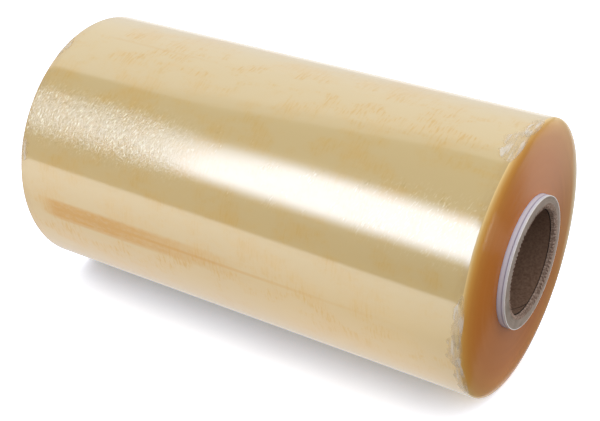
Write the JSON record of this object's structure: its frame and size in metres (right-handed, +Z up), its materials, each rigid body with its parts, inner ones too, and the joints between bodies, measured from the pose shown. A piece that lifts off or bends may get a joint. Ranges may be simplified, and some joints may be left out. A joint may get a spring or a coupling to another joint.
{
  "type": "meat film roll",
  "caption": "Full roll of clear stretch film for wrapping meat, wound on a white-covered paperboard core with an open bore, lying on its side.",
  "frame": {"origin": "on the surface that the roll lies on, under the middle of the roll", "axes": "+X along the core, +Z up"},
  "size_m": [0.3924, 0.2032, 0.2024],
  "materials": {
    "film": "glossy wound film, amber on its end faces",
    "board": "sawn grey-brown board",
    "liner": "matt dark brown kraft",
    "wrap": "smooth white paper"
  },
  "bodies": {
    "root": {"film_roll": "film", "core_board": "board", "core_liner": "liner", "core_wrap": "wrap"}
  },
  "joints": []
}
